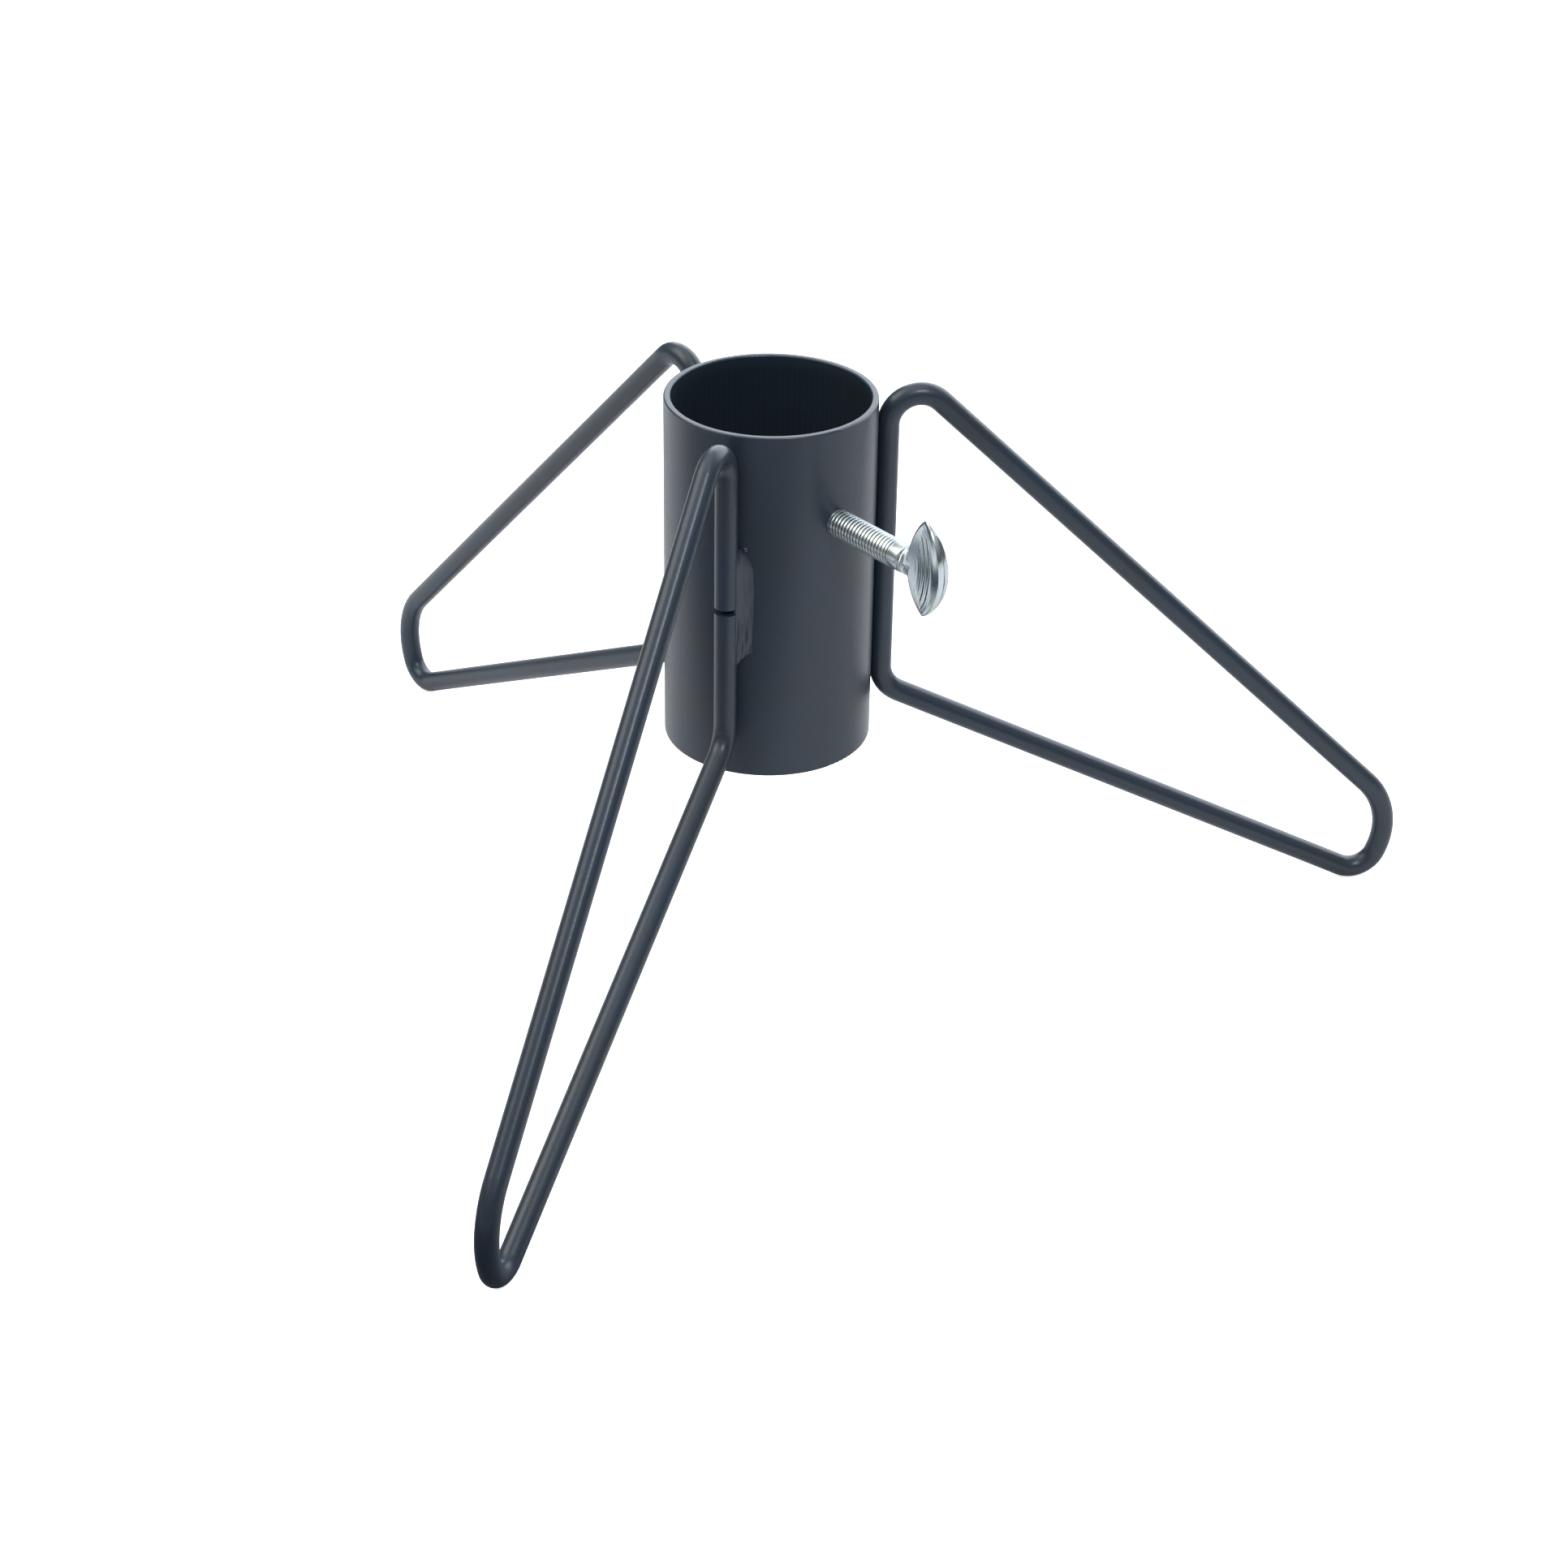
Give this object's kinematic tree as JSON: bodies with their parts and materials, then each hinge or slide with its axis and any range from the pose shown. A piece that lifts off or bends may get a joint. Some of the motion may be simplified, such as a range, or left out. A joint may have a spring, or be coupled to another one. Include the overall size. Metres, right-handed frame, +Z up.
{
  "type": "three-legged pole stand",
  "caption": "Short round socket tube on splayed legs of bent round bar, with a radial thumb screw that clamps an upright pole in the tube.",
  "frame": {"origin": "on the tube's axis, at the floor the legs stand on", "axes": "+Z up along the tube's axis; the thumb screw points to -Y and the back leg to +Y; the left and right legs point 60 degrees each side of -Y, towards -X and +X"},
  "size_m": [0.343, 0.2979, 0.1736],
  "materials": {
    "coated_tube": "satin anthracite powder coat",
    "coated_bar": "satin anthracite powder coat on drawn bar",
    "coated_weld": "satin anthracite powder coat over a weld bead",
    "zinc_plate": "bright bluish zinc plate"
  },
  "bodies": {
    "stand": {"socket_tube": "coated_tube", "leg_left": "coated_bar", "leg_right": "coated_bar", "leg_back": "coated_bar", "weld_left": "coated_weld", "weld_right": "coated_weld", "weld_back": "coated_weld"},
    "screw_travel": {"screw_tip": "zinc_plate"},
    "thumb_screw": {"thumb_screw": "zinc_plate"}
  },
  "joints": [
    {"name": "screw_feed", "type": "slide", "parent": "stand", "child": "screw_travel", "axis": [0, 1, 0], "range_m": [0, 0.0255]},
    {"name": "screw_turn", "type": "hinge", "parent": "screw_travel", "child": "thumb_screw", "pos_m": [0, -0.03, 0.14446], "axis": [0, 1, 0], "range_deg": [0, 7344.5]}
  ],
  "couplings": [
    {"joint": "screw_turn", "follows": "screw_feed", "rad_per_m": 5026.5}
  ]
}
